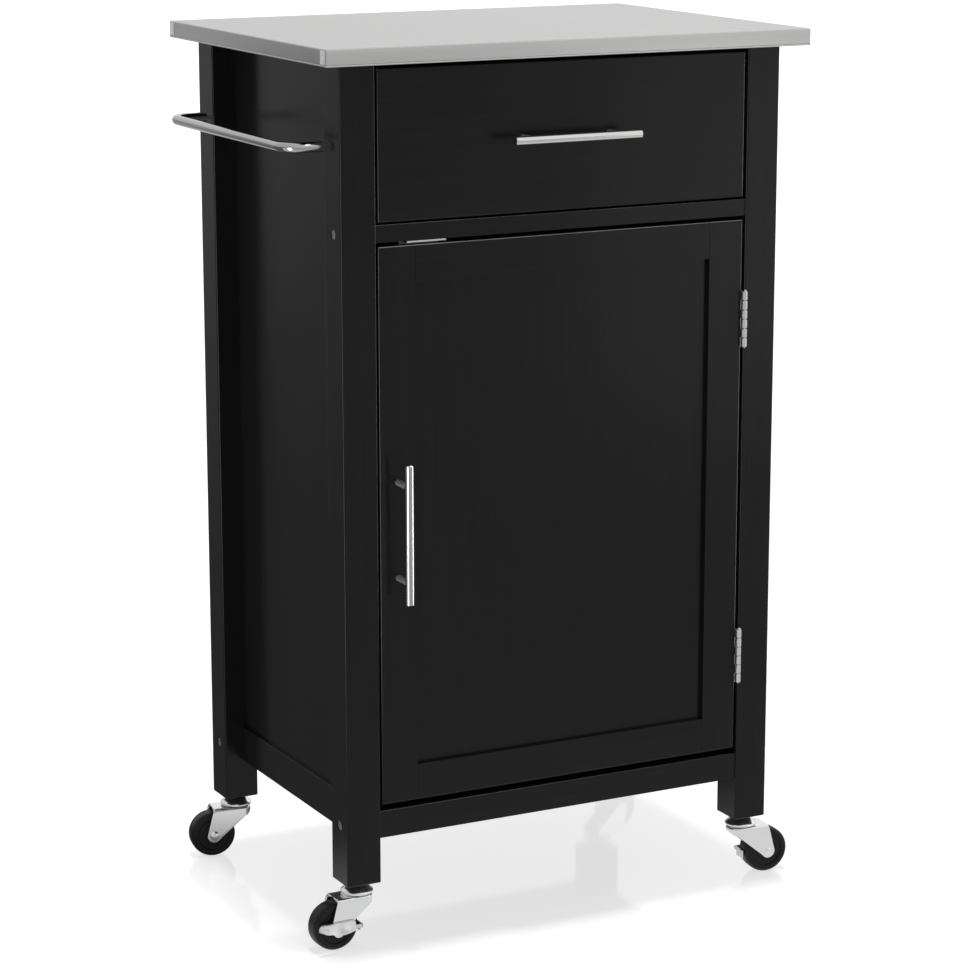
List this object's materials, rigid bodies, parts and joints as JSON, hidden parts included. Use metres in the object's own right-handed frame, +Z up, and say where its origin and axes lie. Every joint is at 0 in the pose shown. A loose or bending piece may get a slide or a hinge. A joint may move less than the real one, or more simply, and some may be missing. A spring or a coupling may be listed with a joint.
{
  "type": "kitchen island cart",
  "caption": "Rolling kitchen island cart with a steel-clad worktop, a drawer over a framed cabinet door, a side towel rail and swivel casters.",
  "frame": {"origin": "on the floor, under the middle of the outline seen from above", "axes": "+Z up, the drawer and door face -Y, the towel rail is on -X"},
  "size_m": [0.5698, 0.398, 0.9],
  "materials": {
    "frame_paint": "satin black lacquer on hardwood and board",
    "front_paint": "satin black lacquer on board",
    "board": "raw particle board",
    "worktop_steel": "brushed stainless sheet",
    "drawer_wood": "clear-lacquered softwood and plywood",
    "brushed_bar": "satin brushed bar",
    "wheel_rubber": "hard black rubber, satin",
    "zinc_plate": "bright zinc plating on pressed steel",
    "fastener_zinc": "zinc-plated fasteners",
    "hinge_steel": "nickel-plated steel",
    "catch_steel": "nickel-plated steel",
    "runner_steel": "zinc-plated rolled steel"
  },
  "bodies": {
    "cart": {"post_front_left": "frame_paint", "post_front_right": "frame_paint", "post_rear_left": "frame_paint", "post_rear_right": "frame_paint", "side_rail_left": "frame_paint", "side_panel_left": "frame_paint", "side_rail_right": "frame_paint", "side_panel_right": "frame_paint", "front_low_rail": "frame_paint", "front_mid_rail": "frame_paint", "back_low_rail": "frame_paint", "back_panel": "frame_paint", "cabinet_floor": "frame_paint", "worktop_screws": "fastener_zinc", "top_cleats": "frame_paint", "worktop_skin": "worktop_steel", "worktop_board": "board", "frame_bolts": "fastener_zinc", "barrel_nuts": "fastener_zinc", "shelf_pins": "fastener_zinc", "shelf": "frame_paint", "hinge_pins": "hinge_steel", "hinge_screws_frame": "fastener_zinc", "hinge_leaves_frame": "hinge_steel", "cabinet_runners": "runner_steel", "towel_rail": "brushed_bar", "magnetic_catch": "catch_steel", "caster_stems": "zinc_plate"},
    "door": {"door_stile_pull_side": "front_paint", "door_stile_hinge_side": "front_paint", "door_rail_lower": "front_paint", "door_rail_upper": "front_paint", "door_panel": "front_paint", "hinge_screws_door": "fastener_zinc", "hinge_leaves_door": "hinge_steel", "door_pull_bar": "brushed_bar", "door_pull_posts": "brushed_bar", "catch_strike": "catch_steel"},
    "drawer": {"drawer_front": "front_paint", "drawer_side_left": "drawer_wood", "drawer_side_right": "drawer_wood", "drawer_back": "drawer_wood", "drawer_bottom": "drawer_wood", "drawer_pull_bar": "brushed_bar", "drawer_pull_posts": "brushed_bar", "drawer_runners": "runner_steel"},
    "swivel_front_left": {"caster_fork_front_left": "zinc_plate", "caster_axle_front_left": "zinc_plate"},
    "wheel_front_left": {"caster_wheel_front_left": "wheel_rubber"},
    "brake_front_left": {"brake_rocker_front_left": "zinc_plate"},
    "swivel_front_right": {"caster_fork_front_right": "zinc_plate", "caster_axle_front_right": "zinc_plate"},
    "wheel_front_right": {"caster_wheel_front_right": "wheel_rubber"},
    "brake_front_right": {"brake_rocker_front_right": "zinc_plate"},
    "swivel_rear_left": {"caster_fork_rear_left": "zinc_plate", "caster_axle_rear_left": "zinc_plate"},
    "wheel_rear_left": {"caster_wheel_rear_left": "wheel_rubber"},
    "swivel_rear_right": {"caster_fork_rear_right": "zinc_plate", "caster_axle_rear_right": "zinc_plate"},
    "wheel_rear_right": {"caster_wheel_rear_right": "wheel_rubber"}
  },
  "joints": [
    {"name": "door_hinge", "type": "hinge", "parent": "cart", "child": "door", "pos_m": [0.21296, -0.1733, 0.14715], "axis": [0, 0, 1], "range_deg": [0, 170]},
    {"name": "drawer_slide", "type": "slide", "parent": "cart", "child": "drawer", "axis": [0, -1, 0], "range_m": [0, 0.2]},
    {"name": "swivel_front_left", "type": "hinge", "parent": "cart", "child": "swivel_front_left", "pos_m": [-0.21944, -0.152, 0.054], "axis": [0, 0, 1], "continuous": true},
    {"name": "wheel_spin_front_left", "type": "hinge", "parent": "swivel_front_left", "child": "wheel_front_left", "pos_m": [-0.24692, -0.15296, 0.0245], "axis": [0.0349, -0.9994, 0], "continuous": true},
    {"name": "brake_front_left", "type": "hinge", "parent": "swivel_front_left", "child": "brake_front_left", "pos_m": [-0.24692, -0.15296, 0.022], "axis": [0.0349, -0.9994, 0], "range_deg": [0, 18]},
    {"name": "swivel_front_right", "type": "hinge", "parent": "cart", "child": "swivel_front_right", "pos_m": [0.23256, -0.152, 0.054], "axis": [0, 0, 1], "continuous": true},
    {"name": "wheel_spin_front_right", "type": "hinge", "parent": "swivel_front_right", "child": "wheel_front_right", "pos_m": [0.25995, -0.1544, 0.0245], "axis": [0.0872, 0.9962, 0], "continuous": true},
    {"name": "brake_front_right", "type": "hinge", "parent": "swivel_front_right", "child": "brake_front_right", "pos_m": [0.25995, -0.1544, 0.022], "axis": [0.0872, 0.9962, 0], "range_deg": [0, 18]},
    {"name": "swivel_rear_left", "type": "hinge", "parent": "cart", "child": "swivel_rear_left", "pos_m": [-0.21944, 0.159, 0.054], "axis": [0, 0, 1], "continuous": true},
    {"name": "wheel_spin_rear_left", "type": "hinge", "parent": "swivel_rear_left", "child": "wheel_rear_left", "pos_m": [-0.2466, 0.1633, 0.0245], "axis": [-0.1564, -0.9877, 0], "continuous": true},
    {"name": "swivel_rear_right", "type": "hinge", "parent": "cart", "child": "swivel_rear_right", "pos_m": [0.23256, 0.159, 0.054], "axis": [0, 0, 1], "continuous": true},
    {"name": "wheel_spin_rear_right", "type": "hinge", "parent": "swivel_rear_right", "child": "wheel_rear_right", "pos_m": [0.25946, 0.16472, 0.0245], "axis": [-0.2079, 0.9781, 0], "continuous": true}
  ]
}
